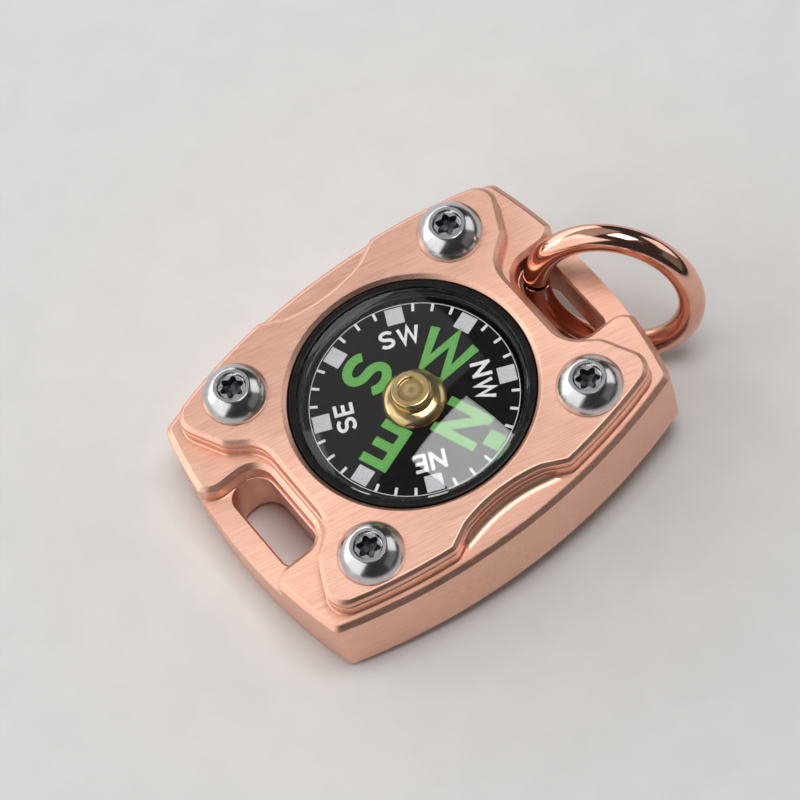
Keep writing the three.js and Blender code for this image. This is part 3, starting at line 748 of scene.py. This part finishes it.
def makeCup():
    s = capsuleSizes
    edge, small, large = s["cupEdge"], s["stepRound"], s["cavityRound"]
    profile = [(0, s["cupBottom"]), (s["cup"] - edge, s["cupBottom"]), (s["cup"], s["cupBottom"] + edge),
               (s["cup"], s["cupTop"]), (s["counterbore"], s["cupTop"]), (s["counterbore"], s["step"])]
    profile += arcPoints(s["cavity"] + small, s["step"] - small, small, 90, 180, 4)
    profile += arcPoints(s["cavity"] - large, s["cavityFloor"] + large, large, 0, -90, 10)
    profile.append((0, s["cavityFloor"]))
    shell = lathe("capsuleShell", profile)
    dressed(shell, blackAbs, "case", ["capsule_cup"], sharpDegrees=30)


makeBezel()
makeLens()
makeCup()
print("capsule made")


cardSizes = {
    "radius": 7.5, "bottom": 6.15, "top": 6.5, "hole": 1.25, "edge": 0.05,
    "heading": -70.0,          # degrees, where north lies
    "ink": 0.012,              # thickness of the printing
    "sunk": 0.002,             # how far the printing reaches into the card
    "strokeLift": 0.04,        # share of the ink by which each stroke lies over the one before
    "marks": 32,
    "circle": 7.36, "circleWidth": 0.045,
    "block": 1.25, "blockOut": 7.22,
    "tick": 0.6, "tickWidth": 0.2,
    "cardinal": {"height": 3.5, "at": 3.95, "stroke": 0.68},
    "between": {"height": 1.4, "at": 4.95, "stroke": 0.25},
    "letterGap": 0.2,
}
pointNames = ["N", "NE", "E", "SE", "S", "SW", "W", "NW"]
letterShapes = {               # width, then pen strokes in a box 1 high, each a list of (x, y)
    "N": (0.78, [[(0, 0), (0, 1)], [(0, 1), (0.78, 0)], [(0.78, 0), (0.78, 1)]]),
    "E": (0.66, [[(0.66, 1), (0, 1), (0, 0), (0.66, 0)], [(0, 0.51), (0.6, 0.51)]]),
    "W": (1.18, [[(0, 1), (0.28, 0), (0.59, 1), (0.9, 0), (1.18, 1)]]),
    "S": (0.72, []),
}


def strokeOfS(width, start=25, sweep=245, steps=14):
    # two arcs of that many degrees, which meet in the letter's middle
    top, low = [], []
    for step in range(steps + 1):
        angle = math.radians(start + sweep * step / steps)
        top.append((width / 2 + width / 2 * math.cos(angle), 0.75 + 0.25 * math.sin(angle)))
        angle = math.radians(90 - sweep * step / steps)
        low.append((width / 2 + width / 2 * math.cos(angle), 0.25 + 0.25 * math.sin(angle)))
    return [top[:-1] + low]


def strokeOutline(path, width, sharpest=0.4):
    # two sides of a pen stroke with flat ends and mitred turns; sharpest keeps a mitre from running far out
    left, right = [], []
    for index, point in enumerate(path):
        here = Vector(point)
        before = Vector(path[max(index - 1, 0)])
        after = Vector(path[min(index + 1, len(path) - 1)])
        into = (here - before).normalized() if index else (after - here).normalized()
        out = (after - here).normalized() if index < len(path) - 1 else into
        normal = Vector((-into.y - out.y, into.x + out.x)).normalized()
        reach = width / 2 / max(sharpest, normal.dot(Vector((-into.y, into.x))))
        left.append(here + normal * reach)
        right.append(here - normal * reach)
    return left, right


def printedLetter(name, letter, height, stroke, ink, at, turn):
    # at is the letter's middle on the card, turn is where its top points
    s = cardSizes
    width, strokes = letterShapes[letter]
    strokes = strokeOfS(width) if letter == "S" else strokes
    span, points, faces = height - stroke, [], []
    for number, path in enumerate(strokes):
        scaled = [Vector(((x - width / 2) * span, (y - 0.5) * span)) for x, y in path]
        along = (scaled[-1] - scaled[0]).normalized() * stroke / 2
        if len(path) == 2 and abs(along.x) < tiny:  # upright strokes end level with the pen's outer side
            scaled = [scaled[0] - along, scaled[1] + along]
        left, right = strokeOutline(scaled, stroke)
        base, count = len(points), len(left)
        up = 2 * count
        for z in (s["top"] - s["sunk"], s["top"] + s["ink"] * (1 + s["strokeLift"] * number)):
            points += [(p.x, p.y, z) for p in left + right]
        for index in range(count - 1):
            a, b = base + index, base + count + index
            faces += [(a, a + 1, b + 1, b), (a + up, b + up, b + 1 + up, a + 1 + up),
                      (a, a + up, a + 1 + up, a + 1), (b, b + 1, b + 1 + up, b + up)]
        for a in (base, base + count - 1):
            faces.append((a, a + count, a + count + up, a + up))
    piece = meshPiece(name, points, faces)
    angle = math.radians(turn - 90)
    piece.data.transform(Matrix.Translation((at.x, at.y, 0)) @ Matrix.Rotation(angle, 4, "Z"))
    dressed(outwards(piece), ink, "card")


def printedBlock(name, width, height, ink, radius, heading):
    # a rectangle whose outer side is at that radius
    low, high = cardSizes["top"] - cardSizes["sunk"], cardSizes["top"] + cardSizes["ink"]
    outline = [Vector((radius - height, -width / 2)), Vector((radius, -width / 2)),
               Vector((radius, width / 2)), Vector((radius - height, width / 2))]
    piece = slab(name, outline, [(low, 0), (high, 0)])
    piece.data.transform(Matrix.Rotation(math.radians(heading), 4, "Z"))
    dressed(piece, ink, "card")


def makeCard():
    s = cardSizes
    edge, out = s["edge"], s["radius"]
    profile = [(s["hole"], s["bottom"]), (out - edge, s["bottom"]), (out, s["bottom"] + edge),
               (out, s["top"] - edge), (out - edge, s["top"]), (s["hole"], s["top"])]
    profile.append(profile[0])
    dressed(lathe("cardDisc", profile), cardBlack, "card", ["compass_card"])
    half, low, high = s["circleWidth"] / 2, s["top"] - s["sunk"], s["top"] + s["ink"]
    circle = [(s["circle"] - half, low), (s["circle"] + half, low), (s["circle"] + half, high),
              (s["circle"] - half, high), (s["circle"] - half, low)]
    dressed(lathe("circlePrint", circle), inkWhite, "card")
    between = s["marks"] // len(pointNames)
    for place in range(s["marks"]):
        heading = s["heading"] - place * 360 / s["marks"]
        if place % between:
            printedBlock("tickPrint%02d" % place, s["tickWidth"], s["tick"], inkWhite, s["circle"], heading)
            continue
        word = pointNames[place // between]
        printedBlock("blockPrint" + word, s["block"], s["block"], lumeGreen if word == "N" else inkGrey,
                     s["blockOut"], heading)
        cardinal = len(word) == 1
        lettering = s["cardinal"] if cardinal else s["between"]
        height, stroke = lettering["height"], lettering["stroke"]
        widths = [letterShapes[letter][0] * (height - stroke) + stroke for letter in word]
        outward = Vector((math.cos(math.radians(heading)), math.sin(math.radians(heading))))
        rightward = Vector((outward.y, -outward.x))
        start = -(sum(widths) + s["letterGap"] * (len(word) - 1)) / 2
        for number, letter in enumerate(word):
            at = outward * lettering["at"] + rightward * (start + widths[number] / 2)
            start += widths[number] + s["letterGap"]
            printedLetter("letterPrint%s%d" % (word, number), letter, height, stroke,
                          lumeGreen if cardinal else inkWhite, at, heading)


makeCard()
print("card printed")


capSizes = {
    "neck": 1.15, "neckBottom": 6.0, "bore": 0.95, "boreTop": 7.65,
    "flange": 2.3, "flangeEdge": 0.1, "seat": 6.5, "coneTop": 7.12, "tube": 1.45,
    "coneOut": 0.1, "coneBulge": 0.07,     # the cone's top stands outside the tube, and its side swells
    "top": 8.1, "rim": 0.22, "recess": 0.9, "recessDepth": 0.22,
    "recessEdge": 0.08, "recessFillet": 0.06,
    # (growth, height): the flange's lower edge, and the groove between cone and tube
    "flangeRound": [(-0.03, 0), (0, 0.04), (0, 0.1)],
    "groove": [(-0.06, 0.03), (-0.06, 0.1), (-0.01, 0.14), (0, 0.2)],
}


def makeCap(coneSteps=12):
    # one closed profile: up the outside, down into the recess, and back along the bore
    s = capSizes
    edge, fillet, recessFloor = s["recessEdge"], s["recessFillet"], s["top"] - s["recessDepth"]
    profile = [(s["bore"], s["neckBottom"]), (s["neck"], s["neckBottom"]), (s["neck"], s["seat"])]
    profile += carried(s["flangeRound"], s["flange"], s["seat"])
    coneFoot = s["seat"] + s["flangeEdge"]
    for step in range(1, coneSteps + 1):
        share = step / coneSteps
        bulge = s["coneBulge"] * math.sin(math.pi * share)
        profile.append((s["flange"] + (s["tube"] + s["coneOut"] - s["flange"]) * share + bulge,
                        coneFoot + (s["coneTop"] - coneFoot) * share + bulge))
    profile += carried(s["groove"], s["tube"], s["coneTop"])
    profile += arcPoints(s["tube"] - s["rim"], s["top"] - s["rim"], s["rim"], 0, 90, 8)
    profile += arcPoints(s["recess"] + edge, s["top"] - edge, edge, 90, 180, 5)
    profile += arcPoints(s["recess"] - fillet, recessFloor + fillet, fillet, 0, -90, 4)
    profile += [(0, recessFloor), (0, s["boreTop"]), (s["bore"], s["boreTop"]), (s["bore"], s["neckBottom"])]
    dressed(lathe("pivotCapTurned", profile, sides=128), brass, "cap", ["pivot_cap"],
            sharpDegrees=35)


makeCap()
print("cap made")


ringSizes = {
    "centre": (16.2, -1.38, 3.8), "heading": -47.6, "lean": -15.0,  # degrees
    "radius": 5.55, "wire": 0.97,
    "gap": 0.3, "gapAngle": 174.5,         # the butt gap, and how far round the ring it lies
    "cutEdge": 0.05,
}


def makeRing(steps=220, sides=48):
    s = ringSizes
    gapTurn = math.degrees(s["gap"] / s["radius"])
    start, sweep = s["gapAngle"] + gapTurn / 2, 360 - gapTurn
    edgeTurn = math.degrees(s["cutEdge"] / s["radius"])
    stations = [(start, s["wire"] - s["cutEdge"]), (start + edgeTurn, s["wire"])]
    stations += [(start + edgeTurn + (sweep - 2 * edgeTurn) * step / steps, s["wire"])
                 for step in range(1, steps + 1)]
    stations.append((start + sweep, s["wire"] - s["cutEdge"]))
    points, faces = [], []
    for angle, wire in stations:
        a = math.radians(angle)
        for side in range(sides):
            b = 2 * math.pi * side / sides
            reach = s["radius"] + wire * math.cos(b)
            points.append((reach * math.cos(a), wire * math.sin(b), reach * math.sin(a)))
    for station in range(len(stations) - 1):
        for side in range(sides):
            low, lowNext = station * sides + side, station * sides + (side + 1) % sides
            faces.append((low, lowNext, lowNext + sides, low + sides))
    faces.append(list(range(sides)))
    faces.append([(len(stations) - 1) * sides + side for side in range(sides)])
    ring = outwards(meshPiece("jumpRingWire", points, faces))
    place = (Matrix.Translation(s["centre"])
             @ Matrix.Rotation(math.radians(s["heading"]), 4, "Z")
             @ Matrix.Rotation(math.radians(s["lean"]), 4, "X"))
    ring.data.transform(place)
    dressed(ring, roseGold, "ring", ["lanyard_ring"], sharpDegrees=30)


makeRing()
print("ring made")


innerFinishes = {
    "cover_gasket": nitrile, "lens_seal": nitrile, "capsule_pad": foam, "pivot_post": brass,
    "pivot_pin": stainless, "pivot_jewel": ruby, "card_magnet_left": magnet, "card_magnet_right": magnet,
}
for nodeName, finish in innerFinishes.items():
    nodes[nodeName].data.materials.clear()
    nodes[nodeName].data.materials.append(finish)
print("inner pieces finished")


stageSizes = {
    # the ring reaches below the case, so the case stands on its tail's edge, at that X,
    # and on the ring's lowest point, at that X and just under its Z
    "tailEdge": -15.5, "ringFoot": (15.15, -2.53),
    "clearance": 0.03,
    "floorSize": 3.0,         # metres
}


def makeFloor():
    s = stageSizes
    tilt = math.atan2(-s["ringFoot"][1], s["ringFoot"][0] - s["tailEdge"])
    half = s["floorSize"] / 2
    mesh = bpy.data.meshes.new("floor")
    mesh.from_pydata([(-half, -half, 0), (half, -half, 0), (half, half, 0), (-half, half, 0)], [],
                     [(0, 1, 2, 3)])
    floor = bpy.data.objects.new("floor", mesh)
    bpy.context.scene.collection.objects.link(floor)
    floor.matrix_world = (Matrix.Translation((s["tailEdge"] * mm, 0, -s["clearance"] * mm))
                          @ Matrix.Rotation(tilt, 4, "Y"))
    material, tree, shader, place = startMaterial("floorPaper", Roughness=0.9, Specular_IOR_Level=0.1)
    cloud = addNode(tree, "ShaderNodeTexNoise", {
        "Vector": place, "Scale": perMetre(finishSizes["paperCloud"]), "Detail": 4.0})
    finishFrom(tree, shader, cloud.outputs["Fac"], [(0.3, "#dddbd9"), (0.7, "#e1dfdd")])
    mesh.materials.append(material)


lightSetup = {
    "aim": (0, 0, 0.006),
    "overhead": 0.9,          # a panel whose direction rises more than this hangs over the part
    "skyColour": "#ffffff", "skyStrength": 0.04,
    # where each panel stands as seen from the part, its distance and size in metres, its turn in degrees
    # about the line to the part, and its radiance
    "panels": {
        "overheadSoftbox": ((0.166, -0.057, 0.98), 0.9, (0.44, 0.39), 13, 7.3),
        "backPanel": ((-0.25, 0.933, 0.26), 0.6, (1.2, 0.34), 0, 1.7),
        "topScrim": ((-0.17, 0.62, 0.766), 0.6, (1.0, 0.62), 0, 0.42),  # what level faces reflect
        "leftSoftbox": ((-0.85, 0.2, 0.48), 0.6, (0.8, 0.7), 0, 1.3),
        "frontFill": ((0.53, -0.77, 0.35), 0.6, (0.5, 0.3), 0, 0.15),
        "rightWindow": ((0.92, -0.14, 0.39), 0.5, (0.34, 0.26), 0, 1.2),
    },
}


def softbox(name, direction, distance, size, turn, radiance):
    # a panel sends out radiance * pi watts from each square metre
    data = bpy.data.lights.new(name, "AREA")
    data.shape = "RECTANGLE"
    data.size, data.size_y = size
    data.energy = radiance * math.pi * size[0] * size[1]
    lamp = bpy.data.objects.new(name, data)
    bpy.context.scene.collection.objects.link(lamp)
    away = Vector(direction).normalized()
    upright = Vector((0, 1, 0)) if away.z > lightSetup["overhead"] else Vector((0, 0, 1))
    level = upright.cross(away).normalized()
    facing = Matrix((level, away.cross(level), away)).transposed().to_4x4()
    lamp.matrix_world = (Matrix.Translation(Vector(lightSetup["aim"]) + away * distance) @ facing
                         @ Matrix.Rotation(math.radians(turn), 4, "Z"))


def makeLights():
    for name, panel in lightSetup["panels"].items():
        softbox(name, *panel)
    world = bpy.data.worlds.new("studio")
    bpy.context.scene.world = world
    world.use_nodes = True
    sky = world.node_tree.nodes["Background"]
    sky.inputs["Color"].default_value = linear(lightSetup["skyColour"])
    sky.inputs["Strength"].default_value = lightSetup["skyStrength"]


makeFloor()
makeLights()
print("floor and lights set")
